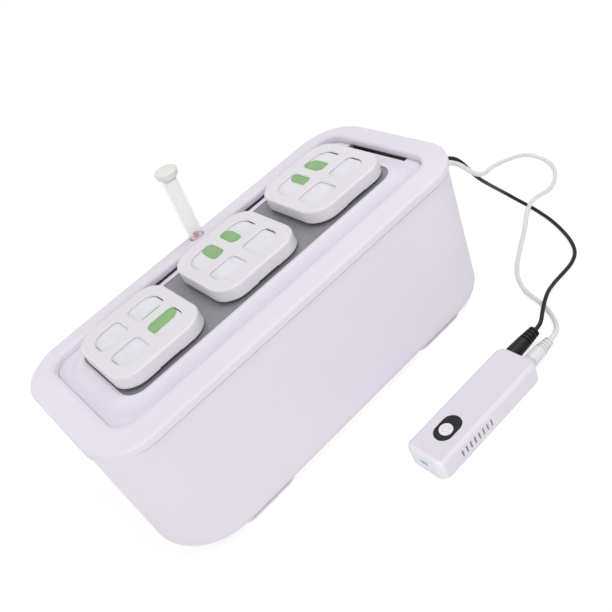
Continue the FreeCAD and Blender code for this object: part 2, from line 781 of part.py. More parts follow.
def make_lid():
    """A flanged tray whose raised middle takes the panel and whose edge leaves dark slots at the rim."""
    body = new_body("lid_tray", (S.lid_shift, 0, 0))
    flange_length = opening_length - S.lid_gap * 2
    flange_width = opening_width - S.lid_gap * 2
    flange = flat_sketch(body, flange_low)
    rounded_rectangle(flange, flange_length, flange_width, S.opening_corner - S.lid_gap)
    pad(body, flange, S.flange_thickness)
    low, high = flat_sketch(body, flange_top), flat_sketch(body, plateau)
    rounded_rectangle(low, pillow_length, pillow_width, S.pillow_corner)
    rounded_rectangle(high, pillow_top_length, pillow_top_width, S.pillow_top_corner)
    loft(body, "AdditiveLoft", low, high)
    fillet(body, S.pillow_round, level_edges(plateau))
    foot_edges = level_edges(flange_top)
    fillet(
        body, S.pillow_foot_round,
        lambda box: foot_edges(box) and lies_within(box, pillow_length, pillow_width),
    )
    low, high = flat_sketch(body, flange_low), flat_sketch(body, shelf_top - S.lid_skin)
    skin = S.lid_skin * 2
    rounded_rectangle(low, pillow_length - skin, pillow_width - skin, S.pillow_corner - S.lid_skin)
    void_corner = S.pillow_top_corner - S.lid_skin
    rounded_rectangle(high, pillow_top_length - skin, pillow_top_width - skin, void_corner)
    loft(body, "SubtractiveLoft", low, high)
    bed = flat_sketch(body, plateau)
    play = S.panel_gap * 2
    rounded_rectangle(bed, panel_length + play, panel_width + play, S.panel_corner + S.panel_gap)
    pocket(body, bed, S.panel_drop + S.panel_thickness)
    for along, across, length, width in (
        (as_size(0), -flange_width / 2, S.long_notch, S.notch_depth * 2),
        (as_size(0), flange_width / 2, S.long_notch, S.notch_depth * 2),
        (flange_length / 2, as_size(0), S.notch_depth * 2, S.end_notch),
    ):
        notch = flat_sketch(body, flange_top, along, across)
        rectangle(notch, length, width)
        pocket(body, notch, S.flange_thickness)
    holes = flat_sketch(body, shelf_top)
    shelf_hole_length = hole_length + S.shelf_relief * 2
    shelf_hole_width = hole_width + S.shelf_relief * 2
    for along in pod_steps:
        rounded_rectangle(holes, shelf_hole_length, shelf_hole_width, hole_corner + S.shelf_relief, along)
    pocket(body, holes, S.lid_skin)


def make_panel():
    body = new_body("top_panel", (S.lid_shift, 0, 0))
    sheet_outline = flat_sketch(body, shelf_top)
    rounded_rectangle(sheet_outline, panel_length, panel_width, S.panel_corner)
    pad(body, sheet_outline, S.panel_thickness)
    holes = flat_sketch(body, panel_top)
    for along in pod_steps:
        rounded_rectangle(holes, hole_length, hole_width, hole_corner, along)
    pocket(body, holes, S.panel_thickness)


def make_basket(number, place):
    """A net cup hung by its flange, with a tall lip that carries the cap."""
    body = new_body(f"net_basket_{number}", place)
    lip = flat_sketch(body, 0)
    rounded_rectangle(lip, lip_length, lip_width, lip_corner)
    pad(body, lip, lip_top)
    low, high = flat_sketch(body, -S.basket_depth), flat_sketch(body, 0)
    taper = S.basket_taper * 2
    rounded_rectangle(low, cup_length - taper, cup_width - taper, cup_corner)
    rounded_rectangle(high, cup_length, cup_width, cup_corner)
    loft(body, "AdditiveLoft", low, high)
    well = flat_sketch(body, lip_top)
    wall = S.lip_wall * 2
    rounded_rectangle(well, lip_length - wall, lip_width - wall, lip_corner - S.lip_wall)
    pocket(body, well, lip_top - S.basket_flange_thickness)
    throat = flat_sketch(body, S.basket_flange_thickness)
    rounded_rectangle(throat, mouth_length, mouth_width, mouth_corner)
    pocket(body, throat, S.basket_flange_thickness)
    low, high = flat_sketch(body, S.basket_skin - S.basket_depth), flat_sketch(body, 0)
    rounded_rectangle(low, mouth_length - taper, mouth_width - taper, mouth_corner)
    rounded_rectangle(high, mouth_length, mouth_width, mouth_corner)
    loft(body, "SubtractiveLoft", low, high)
    slot_level = -S.basket_depth / 2
    across = front_sketch(body, 0, 0, slot_level)
    along = end_sketch(body, 0, 0, slot_level)
    under = flat_sketch(body, -S.basket_depth)
    for sketch, row, depth in (
        (across, cup_length, cup_width),
        (along, cup_width, cup_length),
        (under, cup_length, S.basket_skin * 2),
    ):
        pitch = (row - taper - S.slot_margin * 2) / SLOT_COUNT
        for slot in range(SLOT_COUNT):
            rectangle(sketch, S.slot_width, S.slot_length, pitch * (slot - (SLOT_COUNT - 1) / 2))
        pocket(body, sketch, depth, both_ways=True)


def make_sponge(number, place):
    """A growing sponge wedged in the tapered cup, with a shallow bed for its tag in the top."""
    body = new_body(f"sponge_{number}", place)
    depth = (S.basket_depth - S.basket_skin) * SPONGE_SHARE
    shrink = S.basket_taper * (SPONGE_SHARE * 2)
    low, high = flat_sketch(body, -depth), flat_sketch(body, 0)
    rounded_rectangle(low, sponge_length - shrink, sponge_width - shrink, mouth_corner)
    rounded_rectangle(high, sponge_length, sponge_width, mouth_corner)
    loft(body, "AdditiveLoft", low, high)
    top = flat_sketch(body, 0)
    rounded_rectangle(top, sponge_length, sponge_width, mouth_corner)
    pad(body, top, sponge_top)
    fillet(body, S.sponge_round, level_edges(sponge_top))
    x, y, degrees = TAG_PLACES[number - 1]
    bed = flat_sketch(body, sponge_top, sponge_length / 2 - x, sponge_width / 2 - y)
    turn(bed, "AttachmentOffset", degrees)
    play = S.tag_gap * 2
    rounded_rectangle(bed, S.tag_length + play, S.tag_width + play, S.tag_corner + S.tag_gap)
    pocket(body, bed, S.tag_thickness)


def make_tag(number, place):
    x, y, degrees = TAG_PLACES[number - 1]
    body = new_body(f"tag_{number}", (place[0] + sponge_length / 2 - x, sponge_width / 2 - y, panel_top))
    turn(body, "Placement", degrees)
    sketch = flat_sketch(body, sponge_top - S.tag_thickness)
    rounded_rectangle(sketch, S.tag_length, S.tag_width, S.tag_corner)
    pad(body, sketch, S.tag_thickness)


def make_cap(number, place):
    """A hollow window cap that hangs on the basket's lip, clear of the panel."""
    body = new_body(f"window_cap_{number}", (place[0], 0, panel_top + S.cap_lift))
    outline = flat_sketch(body, 0)
    rounded_rectangle(outline, cap_length, cap_width, S.cap_corner)
    pad(body, outline, S.cap_height)
    top_edges = level_edges(S.cap_height)
    fillet(body, S.cap_round, top_edges)
    hollow = flat_sketch(body, 0)
    hollow_length = cap_length - S.cap_wall * 2
    hollow_width = cap_width - S.cap_wall * 2
    rounded_rectangle(hollow, hollow_length, hollow_width, S.cap_corner - S.cap_wall)
    pocket(body, hollow, S.cap_height - S.cap_top, backwards=True)
    windows = flat_sketch(body, S.cap_height)
    window_length = (cap_length - S.bar_across) / 2 - S.window_end_border
    window_width = (cap_width - S.bar_along) / 2 - S.window_side_border
    u = (window_length + S.bar_across) / 2
    v = (window_width + S.bar_along) / 2
    for quarter, (side, end) in enumerate(((-1, -1), (1, -1), (1, 1), (-1, 1))):
        radii = [S.window_corner] * 4
        radii[quarter] = S.window_outer_corner
        rounded_rectangle(windows, window_length, window_width, radii, u * side, v * end)
    pocket(body, windows, S.cap_top)
    fillet(
        body, S.window_round,
        lambda box: top_edges(box) and lies_within(box, hollow_length, hollow_width),
    )
    grip = front_sketch(body, -cap_width / 2)
    rectangle(grip, S.grip_length, S.grip_height * 2)
    pocket(body, grip, S.cap_wall)


# Level tube, modelled upright and leant as one

def gauge_body(label):
    body = new_body(label, (S.gauge_place, gauge_side, rim_top))
    lean(body, "Placement")
    return body


def make_gauge():
    tube = gauge_body("gauge_tube")
    ring = flat_sketch(tube, tube_foot)
    circle(ring, S.tube_diameter)
    circle(ring, tube_bore)
    pad(tube, ring, S.tube_rise - tube_foot)
    inlet_level = tube_foot + S.end_ring_height + S.inlet_height
    for sketch in (front_sketch(tube, 0, 0, inlet_level), end_sketch(tube, 0, 0, inlet_level)):
        rectangle(sketch, S.inlet_width, S.inlet_height)
        pocket(tube, sketch, S.tube_diameter, both_ways=True)

    cap = gauge_body("gauge_cap")
    profile = front_sketch(cap, 0)
    top = S.tube_rise + S.gauge_cap_height
    wide = S.gauge_cap_diameter / 2
    spigot = tube_bore / 2 - S.fit_gap
    polygon(profile, [
        (0, S.tube_rise - S.gauge_cap_spigot), (spigot, S.tube_rise - S.gauge_cap_spigot),
        (spigot, S.tube_rise), (wide - S.gauge_cap_taper, S.tube_rise), (wide, top), (0, top),
    ])
    revolve(cap, profile, "V_Axis")
    fillet(cap, S.gauge_cap_round, level_edges(top))

    ring_body = gauge_body("gauge_end_ring")
    ring = flat_sketch(ring_body, tube_foot)
    circle(ring, tube_bore - S.fit_gap * 2)
    circle(ring, S.end_ring_bore)
    pad(ring_body, ring, S.end_ring_height)


def make_float():
    """Foam float at its lowest level, with a stem that carries the marker to the rim."""
    low = tube_foot + S.end_ring_height + S.float_rest_gap
    wide = tube_bore - S.float_play * 2
    high = low + S.float_length
    disc_low = S.disc_rise - S.disc_thickness
    for label, diameter, start, end in (
        ("float_body", wide, low, high),
        ("float_stem", S.stem_diameter, high, disc_low),
        ("float_disc", wide, disc_low, S.disc_rise),
        ("float_marker", S.marker_diameter, S.disc_rise, S.disc_rise + S.marker_length),
    ):
        body = gauge_body(label)
        sketch = flat_sketch(body, start)
        circle(sketch, diameter)
        pad(body, sketch, end - start)
        if label in ("float_body", "float_marker"):
            fillet(body, diameter / 5, level_edges(end))


# Pieces on the tank floor

def make_pump():
    place = (pump_start, -S.pump_side, pump_low)
    middle = S.pump_width / 2
    body = new_body("pump_body", place)
    outline = end_sketch(body, S.pump_cover, 0, middle)
    rounded_rectangle(outline, S.pump_width, S.pump_width, S.pump_corner)
    pad(body, outline, S.pump_length - S.pump_cover)
    for diameter, height, along in (
        (S.spout_diameter, S.spout_height, S.spout_place), (S.boss_diameter, S.boss_height, S.boss_place),
    ):
        sketch = flat_sketch(body, S.pump_width, along)
        circle(sketch, diameter)
        pad(body, sketch, height)
    bore = flat_sketch(body, S.pump_width + S.spout_height, S.spout_place)
    circle(bore, S.spout_bore)
    pocket(body, bore, S.spout_height + (S.pump_width - S.chamber_diameter) / 2)
    chamber = end_sketch(body, S.pump_cover, 0, middle)
    circle(chamber, S.chamber_diameter)
    circle(chamber, S.pin_diameter)
    pocket(body, chamber, S.chamber_depth, backwards=True)

    cover = new_body("pump_cover", place)
    outline = end_sketch(cover, 0, 0, middle)
    rounded_rectangle(outline, S.pump_width, S.pump_width, S.pump_corner)
    pad(cover, outline, S.pump_cover)
    fillet(cover, S.pump_cover / 3, end_edges(as_size(0)))
    slot = end_sketch(cover, 0, -S.intake_pitch * ((INTAKE_COUNT - 1) / 2), middle)
    rectangle(slot, S.intake_width, S.intake_height)
    cut = pocket(cover, slot, S.pump_cover, backwards=True)
    repeat(cover, cut, slot, "H_Axis", S.intake_pitch, INTAKE_COUNT)

    impeller = new_body("pump_impeller", (pump_start + S.pump_cover, -S.pump_side, pump_low + middle))
    long = S.chamber_depth - S.impeller_gap * 2
    hub = end_sketch(impeller, S.impeller_gap)
    circle(hub, S.hub_diameter)
    pad(impeller, hub, long)
    span = S.chamber_diameter - S.impeller_gap * 2
    for wide, high in ((span, S.blade_thickness), (S.blade_thickness, span)):
        blades = end_sketch(impeller, S.impeller_gap)
        rectangle(blades, wide, high)
        pad(impeller, blades, long)
    bore = end_sketch(impeller, S.impeller_gap)
    circle(bore, S.pin_diameter + S.pin_gap * 2)
    pocket(impeller, bore, long, backwards=True)

    feet = new_body("pump_feet", (pump_start, -S.pump_side, floor_top))
    sketch = flat_sketch(feet, 0)
    for along in (S.pump_cover + S.pump_foot_inset, S.pump_length - S.pump_foot_inset):
        for side in (-1, 1):
            circle(sketch, S.pump_foot_diameter, along, (S.pump_width / 2 - S.pump_foot_inset) * side)
    pad(feet, sketch, S.pump_foot)


def make_stone():
    level = floor_top + S.stone_diameter / 2
    body = new_body("air_stone", (inner_end - S.stone_end_gap, -S.stone_start, level))
    sketch = front_sketch(body, 0)
    circle(sketch, S.stone_diameter)
    pad(body, sketch, S.stone_length, backwards=True)
    nipple = front_sketch(body, 0)
    circle(nipple, S.nipple_diameter)
    pad(body, nipple, S.nipple_length)


# Unit: local x runs from its charge end to its plug end

def unit_body(label):
    return new_body(label, (unit_start, -S.unit_side, 0))


def unit_block(body, start, end):
    """The unit's outer form, a block with rounded corners and edges, cut away from one place to another."""
    plan = flat_sketch(body, 0, S.unit_length / 2)
    rounded_rectangle(plan, S.unit_length, S.unit_width, S.unit_corner)
    pad(body, plan, S.unit_height)
    fillet(body, S.unit_round, level_edges(S.unit_height))
    fillet(body, S.unit_foot_round, level_edges(as_size(0)))
    rest = flat_sketch(body, S.unit_height, (start + end) / 2)
    rectangle(rest, end - start, S.unit_width)
    pocket(body, rest, S.unit_height)


def make_housing():
    body = unit_body("unit_housing")
    unit_block(body, as_size(0), S.end_cap_length)
    hollow = flat_sketch(body, unit_roof, far_wall / 2)
    rounded_rectangle(hollow, far_wall, S.unit_width - S.unit_wall * 2, S.hollow_corner)
    pocket(body, hollow, unit_roof - S.unit_wall)
    board_end = S.board_start + S.board_length
    for along in (S.board_start + S.spigot_length + S.rib_thickness, board_end - S.rib_thickness):
        rib = flat_sketch(body, S.unit_wall, along)
        rectangle(rib, S.rib_thickness, S.board_width)
        pad(body, rib, S.board_level - S.unit_wall)
    cradle = flat_sketch(body, S.unit_wall, S.motor_start + S.motor_length / 2, -S.hose_side)
    rectangle(cradle, S.motor_length / 2, S.motor_diameter / 2)
    pad(body, cradle, S.line_level - S.motor_diameter / 2 - S.unit_wall)
    vent = front_sketch(body, -S.unit_width / 2, S.vent_start, S.unit_height / 2)
    rectangle(vent, S.vent_width, S.vent_height)
    cut = pocket(body, vent, S.unit_wall)
    repeat(body, cut, vent, "H_Axis", S.vent_pitch, VENT_COUNT)
    bed = flat_sketch(body, S.unit_height, S.bezel_place)
    rounded_rectangle(bed, S.bezel_length, S.bezel_width, S.bezel_width / 2 - S.fit_gap)
    pocket(body, bed, S.bezel_thickness)
    hole = flat_sketch(body, S.unit_height, S.button_place)
    circle(hole, S.button_diameter + S.button_gap * 2)
    pocket(body, hole, S.unit_wall)
    for diameter, side in ((S.barrel_diameter, S.lead_side), (S.nozzle_diameter, -S.hose_side)):
        port = end_sketch(body, S.unit_length, side, S.line_level)
        circle(port, diameter + S.hole_gap * 2)
        pocket(body, port, S.unit_end_wall)


def make_end_cap():
    body = unit_body("unit_end_cap")
    unit_block(body, S.end_cap_length, S.unit_length)
    spigot = end_sketch(body, S.end_cap_length, 0, S.unit_height / 2)
    outer = (S.unit_wall + S.fit_gap) * 2
    inner = outer + S.spigot_wall * 2
    for shrink in (outer, inner):
        rectangle(spigot, S.unit_width - shrink, S.unit_height - shrink)
    pad(body, spigot, S.spigot_length)
    slot = end_sketch(body, 0, 0, board_top + S.port_height / 2)
    play = S.port_gap * 2
    rounded_rectangle(slot, S.port_width + play, S.port_height + play, S.port_corner + S.port_gap)
    pocket(body, slot, S.end_cap_length, backwards=True)


def make_button():
    bezel = unit_body("button_bezel")
    oval = flat_sketch(bezel, bezel_low, S.bezel_place)
    play = S.fit_gap * 2
    rounded_rectangle(oval, S.bezel_length - play, S.bezel_width - play, S.bezel_width / 2 - play)
    pad(bezel, oval, S.bezel_thickness)
    hole = flat_sketch(bezel, S.unit_height, S.button_place)
    circle(hole, S.button_diameter + S.button_gap * 2)
    pocket(bezel, hole, S.bezel_thickness)

    button = unit_body("power_button")
    flange_low_level = unit_roof - S.button_gap - S.button_flange_thickness
    flange = flat_sketch(button, flange_low_level, S.button_place)
    circle(flange, S.button_flange)
    pad(button, flange, S.button_flange_thickness)
    stem = flat_sketch(button, flange_low_level, S.button_place)
    circle(stem, S.button_diameter)
    top = S.unit_height + S.button_proud
    pad(button, stem, top - flange_low_level)
    fillet(button, S.button_proud / 2, level_edges(top))

    key = unit_body("key_switch")
    case = flat_sketch(key, board_top, S.button_place)
    rectangle(case, S.key_width, S.key_width)
    pad(key, case, S.key_height)
    plunger = flat_sketch(key, board_top, S.button_place)
    circle(plunger, S.plunger_diameter)
    pad(key, plunger, flange_low_level - S.button_travel - S.key_gap - board_top)


def make_board():
    body = unit_body("circuit_board")
    sketch = flat_sketch(body, S.board_level, S.board_start + S.board_length / 2)
    rectangle(sketch, S.board_length, S.board_width)
    pad(body, sketch, S.board_thickness)

    port = unit_body("charge_port")
    level = board_top + S.port_height / 2
    shell = end_sketch(port, S.port_inset, 0, level)
    rounded_rectangle(shell, S.port_width, S.port_height, S.port_corner)
    pad(port, shell, S.port_length)
    mouth = end_sketch(port, S.port_inset, 0, level)
    wall = S.port_wall * 2
    rounded_rectangle(mouth, S.port_width - wall, S.port_height - wall, S.port_corner - S.port_wall)
    pocket(port, mouth, S.port_length - S.port_wall, backwards=True)

    battery = unit_body("battery_pack")
    sketch = flat_sketch(battery, board_top, S.battery_start + S.battery_length / 2)
    rounded_rectangle(sketch, S.battery_length, S.battery_width, S.battery_round)
    pad(battery, sketch, S.battery_height)
    fillet(battery, S.battery_round / 2, level_edges(board_top + S.battery_height))


def make_air_pump():
    motor = unit_body("air_pump_motor")
    case = end_sketch(motor, S.motor_start, -S.hose_side, S.line_level)
    circle(case, S.motor_diameter)
    pad(motor, case, S.motor_length)
    motor_end = S.motor_start + S.motor_length
    shaft = end_sketch(motor, motor_end, -S.hose_side, S.line_level)
    circle(shaft, S.shaft_diameter)
    pad(motor, shaft, S.shaft_length)

    crank = new_body("air_pump_crank", (unit_start, -S.unit_side - S.hose_side, S.line_level))
    crank_start = motor_end + S.crank_gap
    disc = end_sketch(crank, crank_start)
    circle(disc, S.crank_diameter)
    circle(disc, S.shaft_diameter + S.shaft_gap * 2)
    pad(crank, disc, S.crank_thickness)
    pin = end_sketch(crank, crank_start + S.crank_thickness, S.crank_throw)
    circle(pin, S.crank_pin_diameter)
    pad(crank, pin, S.crank_pin_length)

    nozzle_start = far_wall - S.crank_gap
    head = unit_body("air_pump_head")
    head_height = S.line_level - S.unit_wall + S.head_width / 2
    case = end_sketch(head, nozzle_start - S.head_length, -S.hose_side, S.unit_wall + head_height / 2)
    rounded_rectangle(case, S.head_width, head_height, S.head_corner)
    pad(head, case, S.head_length)

    nozzle = unit_body("hose_nozzle")
    ring = end_sketch(nozzle, nozzle_start, -S.hose_side, S.line_level)
    circle(ring, S.nozzle_diameter)
    circle(ring, S.nozzle_bore)
    pad(nozzle, ring, S.unit_length - nozzle_start + S.nozzle_length)


def make_socket():
    body = unit_body("lead_socket")
    base = flat_sketch(body, S.unit_wall, far_wall - S.socket_length / 2, S.lead_side)
    rectangle(base, S.socket_length, S.socket_width)
    pad(body, base, S.line_level - S.unit_wall + S.socket_width / 2)
    bore = end_sketch(body, far_wall, S.lead_side, S.line_level)
    circle(bore, S.barrel_diameter + S.barrel_gap * 2)
    circle(bore, S.barrel_bore - S.barrel_gap * 2)
    pocket(body, bore, S.barrel_length)


# Lead plug and hose connector

def ribs(start, end, wide, narrow, depth):
    """Outline points of a tapered sleeve whose grooves are as long as its ribs."""
    points = []
    steps = RIB_COUNT * 2
    for step in range(steps):
        level = depth if step % 2 == 0 else as_size(0)
        for share in (step / steps, (step + 1) / steps):
            radius = wide + (narrow - wide) * share - level
            points.append((start + (end - start) * share, radius))
    return points


def make_plug():
    place = (unit_end, -S.unit_side + S.lead_side, S.line_level)
    plug = new_body("lead_plug", place)
    profile = front_sketch(plug, 0)
    shoulder = S.plug_shoulder / 2
    outline = [(0, 0), (0, S.plug_diameter / 2), (S.plug_body, shoulder)]
    outline += ribs(S.plug_body, S.plug_length, shoulder, S.plug_tip / 2, S.plug_rib_depth)
    outline += [(S.plug_length, 0)]
    polygon(profile, outline)
    revolve(plug, profile, "H_Axis")

    barrel = new_body("plug_barrel", place)
    ring = end_sketch(barrel, 0)
    circle(ring, S.barrel_diameter)
    circle(ring, S.barrel_bore)
    pad(barrel, ring, S.barrel_length, backwards=True)


def make_connector():
    place = (unit_end, -S.unit_side - S.hose_side, S.line_level)
    body = new_body("hose_connector", place)
    profile = front_sketch(body, 0)
    wide = S.connector_diameter / 2
    shoulder = S.connector_shoulder / 2
    bore = S.nozzle_diameter / 2 + S.hole_gap
    groove_end = S.connector_collar + S.connector_groove
    bore_end = S.nozzle_length + S.hole_gap
    outline = [
        (bore_end, 0), (bore_end, bore), (0, bore), (0, wide), (S.connector_collar, wide),
        (S.connector_collar, wide - S.connector_groove), (groove_end, wide - S.connector_groove),
        (groove_end, wide), (S.connector_body, shoulder),
    ]
    tip = S.connector_tip / 2
    outline += ribs(S.connector_body, S.connector_length, shoulder, tip, S.connector_rib_depth)
    outline += [(S.connector_length, 0)]
    polygon(profile, outline)
    revolve(body, profile, "H_Axis")


make_tank()
make_plinth()
make_collar()
make_grommet()
make_lid()
make_panel()
for pod, pod_step in enumerate(pod_steps, start=1):
    pod_place = (pod_step + S.lid_shift, 0, panel_top)
    make_basket(pod, pod_place)
    make_sponge(pod, pod_place)
    make_tag(pod, pod_place)
    make_cap(pod, pod_place)
make_gauge()
make_float()
make_pump()
make_stone()
make_housing()
make_end_cap()
make_button()
make_board()
make_air_pump()
make_socket()
make_plug()
make_connector()
doc.recompute()
tube_along("pump_lead", LEAD_ROUTE, S.lead_diameter.number)
tube_along("air_hose", HOSE_ROUTE, S.hose_diameter.number)
tube_along("inner_lead", INNER_LEAD_ROUTE, S.lead_diameter.number)
tube_along("inner_hose", INNER_HOSE_ROUTE, S.hose_diameter.number)
doc.recompute()

faults = [thing.Label for thing in doc.Objects if {"Invalid", "Error"} & set(thing.State)]
faults += [node.Label for node in nodes if node.Shape.isNull() or not node.Shape.isValid()]
if faults:
    raise RuntimeError("failed pieces: " + ", ".join(faults))
os.makedirs("parts", exist_ok=True)
for node in nodes:
    node.Shape.exportStep(f"parts/{node.Label}.step")
print(f"{len(nodes)} pieces written")
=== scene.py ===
import math

import bmesh
import bpy
from mathutils import Matrix, Vector, noise


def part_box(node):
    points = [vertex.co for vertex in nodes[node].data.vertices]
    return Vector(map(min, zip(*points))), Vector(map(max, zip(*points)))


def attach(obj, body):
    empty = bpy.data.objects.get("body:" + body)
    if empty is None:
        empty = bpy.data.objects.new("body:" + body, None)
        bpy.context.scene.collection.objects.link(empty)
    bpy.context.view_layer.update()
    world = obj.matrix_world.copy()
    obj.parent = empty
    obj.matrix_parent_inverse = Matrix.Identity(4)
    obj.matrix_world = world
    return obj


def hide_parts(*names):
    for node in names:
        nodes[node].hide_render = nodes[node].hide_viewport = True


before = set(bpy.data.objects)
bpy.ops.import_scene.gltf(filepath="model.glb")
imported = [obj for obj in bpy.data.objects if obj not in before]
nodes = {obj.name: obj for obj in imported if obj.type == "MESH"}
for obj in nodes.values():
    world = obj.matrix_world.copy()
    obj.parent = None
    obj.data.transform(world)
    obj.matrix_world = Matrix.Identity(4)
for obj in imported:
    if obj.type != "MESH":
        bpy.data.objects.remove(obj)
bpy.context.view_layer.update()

MM = 0.001
IMAGE_PIXELS = 612
FOCAL_PIXELS = 793.28
SENSOR_WIDTH = 36.0
CAMERA_PLACE = Vector((-0.15932, -0.43888, 0.41731))
CAMERA_PITCH = 0.6520
CAMERA_YAW = 0.4067
CAMERA_ROLL = 0.4823
CAMERA_NEAR = 0.01

LEAD_DIAMETER = 0.0030
LEAD_ROUTE = [
    (161.2, -35, 98), (166.7, -35, 98), (172.4, -35.8, 96.1), (177.5, -37.1, 92.3),
    (181.4, -38.3, 86.6), (184.6, -39.4, 79.2), (190, -40.6, 66.5), (199, -38.5, 54),
    (209.5, -33.5, 41), (219.5, -28.5, 29), (227.5, -27, 18.5), (232.5, -31, 10), (235, -39, 4.2),
    (233.5, -51, 1.8), (228.5, -67, 1.5), (221, -83.5, 1.5), (212.5, -98, 1.5), (203, -108.5, 1.5),
    (191.5, -113, 1.5), (178.5, -114, 2.2), (166, -116, 4.6), (153.5, -120.3, 8.2),
    (145.5, -123.9, 8.7), (139.5, -126.8, 8.6), (133, -130.4, 8.3), (127.6, -133.6, 8.1),
    (122.4, -135.4, 8), (117.2, -135.4, 8),
]
HOSE_DIAMETER = 0.0036
HOSE_ROUTE = [
    (161.2, -39.2, 95.6), (166.2, -39.2, 95.6), (170.8, -40.7, 94), (174.6, -43, 90.4),
    (177.3, -45.3, 85.6), (180.4, -47.6, 79.8), (185.4, -48.8, 74), (194, -47, 68.9), (207, -38, 62),
    (224.5, -28, 51), (243, -17.5, 39), (261, -8.5, 27), (276, 1, 16.5), (287, 0, 11),
    (293.5, -7.5, 5.5), (293.5, -18.5, 2.2), (287, -28.5, 1.8), (277.5, -36.5, 1.8), (267, -41.5, 1.8),
    (256, -43.8, 4), (247, -44.8, 7.8), (238.5, -45.3, 10.2), (229, -46.8, 10.2), (220, -50.2, 7.5),
    (211, -55, 3.2), (199, -60.8, 1.8), (185, -68.5, 1.8), (173, -75.5, 1.8), (163, -83.5, 1.8),
    (155.5, -93, 1.8), (150, -103.5, 1.8), (147.5, -115, 1.8), (142.9, -126.5, 1.8),
    (137.8, -135.4, 2.7), (131.2, -143, 5.4), (126, -148, 7.7), (120.2, -150, 8), (114.7, -150, 8),
]


def add_object(name, data):
    piece = bpy.data.objects.new(name, data)
    bpy.context.scene.collection.objects.link(piece)
    return piece


def add_camera():
    forward = Vector((
        math.sin(CAMERA_YAW) * math.cos(CAMERA_PITCH),
        math.cos(CAMERA_YAW) * math.cos(CAMERA_PITCH),
        -math.sin(CAMERA_PITCH),
    ))
    level = Vector((math.cos(CAMERA_YAW), -math.sin(CAMERA_YAW), 0))
    below = forward.cross(level)
    right = math.cos(CAMERA_ROLL) * level + math.sin(CAMERA_ROLL) * below
    down = -math.sin(CAMERA_ROLL) * level + math.cos(CAMERA_ROLL) * below
    data = bpy.data.cameras.new("camera")
    data.sensor_width = SENSOR_WIDTH
    data.lens = SENSOR_WIDTH * FOCAL_PIXELS / IMAGE_PIXELS
    data.clip_start = CAMERA_NEAR
    camera = add_object("camera", data)
    turn = Matrix((right, -down, -forward)).transposed().to_4x4()
    camera.matrix_world = Matrix.Translation(CAMERA_PLACE) @ turn
    bpy.context.scene.camera = camera


# Materials

TINT_STOPS = (0.32, 0.68)
NOISE_RANGE = (0.3, 0.7)
CLOUD_DETAIL = 4.0
SMEAR_DETAIL = 6.0
SMEAR_SCALE = 2.7
GRAIN_DETAIL = 3.0


def srgb(red, green, blue):
    """Linear colour of an sRGB colour given from 0 to 255."""
    def linear(value):
        share = value / 255
        return share / 12.92 if share <= 0.04045 else ((share + 0.055) / 1.055) ** 2.4
    return linear(red), linear(green), linear(blue)


def scaled(colour, share):
    return tuple(min(1.0, part * share) for part in colour) + (1.0,)


class Finish:
    """A node material whose colour, roughness and surface grain vary over the surface."""

    def __init__(self, name, colour, spread, patch, roughness, grain, sockets):
        self.material = bpy.data.materials.new(name)
        self.material.use_nodes = True
        self.tree = self.material.node_tree
        self.shader = self.tree.nodes["Principled BSDF"]
        for socket, value in sockets.items():
            self.shader.inputs[socket].default_value = value
        self.place = self.add("ShaderNodeTexCoord").outputs["Object"]
        deep, pale = scaled(colour, 1 - spread), scaled(colour, 1 + spread)
        tint = self.ramp(self.noise(patch, CLOUD_DETAIL), deep, pale)
        self.link(tint, self.shader.inputs["Base Color"])
        smears = self.noise(patch * SMEAR_SCALE, SMEAR_DETAIL)
        self.link(self.span(smears, *roughness), self.shader.inputs["Roughness"])
        if grain:
            scale, depth = grain
            self.bump(self.noise(scale, GRAIN_DETAIL), depth)

    def add(self, kind):
        return self.tree.nodes.new(kind)

    def link(self, start, end):
        self.tree.links.new(start, end)

    def noise(self, scale, detail):
        texture = self.add("ShaderNodeTexNoise")
        texture.inputs["Scale"].default_value = scale
        texture.inputs["Detail"].default_value = detail
        self.link(self.place, texture.inputs["Vector"])
        return texture.outputs["Fac"]

    def ramp(self, value, *colours):
        ramp = self.add("ShaderNodeValToRGB")
        for element, position, colour in zip(ramp.color_ramp.elements, TINT_STOPS, colours):
            element.position = position
            element.color = colour
        self.link(value, ramp.inputs["Fac"])
        return ramp.outputs["Color"]

    def span(self, value, low, high):
        span = self.add("ShaderNodeMapRange")
        for socket, number in zip(("From Min", "From Max", "To Min", "To Max"), (*NOISE_RANGE, low, high)):
            span.inputs[socket].default_value = number
        self.link(value, span.inputs["Value"])
        return span.outputs["Result"]

    def bump(self, height, depth):
        bump = self.add("ShaderNodeBump")
        bump.inputs["Distance"].default_value = depth
        self.link(height, bump.inputs["Height"])
        self.link(bump.outputs["Normal"], self.shader.inputs["Normal"])

    def vector(self, operation, value, other):
        step = self.add("ShaderNodeVectorMath")
        step.operation = operation
        self.link(value, step.inputs[0])
        step.inputs[1].default_value = other
        return step

    def print_ring(self, centre, radius, width, colour):
        """A thin printed ring round the upright axis through the centre."""
        away = self.vector("SUBTRACT", self.place, centre).outputs["Vector"]
        level = self.vector("MULTIPLY", away, (1, 1, 0)).outputs["Vector"]
        reach = self.vector("LENGTH", level, (0, 0, 0)).outputs["Value"]
        inked = self.add("ShaderNodeMath")
        inked.operation = "COMPARE"
        self.link(reach, inked.inputs[0])
        inked.inputs[1].default_value = radius
        inked.inputs[2].default_value = width / 2
        paint = self.add("ShaderNodeMixRGB")
        paint.inputs["Color2"].default_value = (*colour, 1)
        base = self.shader.inputs["Base Color"]
        self.link(base.links[0].from_socket, paint.inputs["Color1"])
        self.link(inked.outputs[0], paint.inputs["Fac"])
        self.link(paint.outputs["Color"], base)


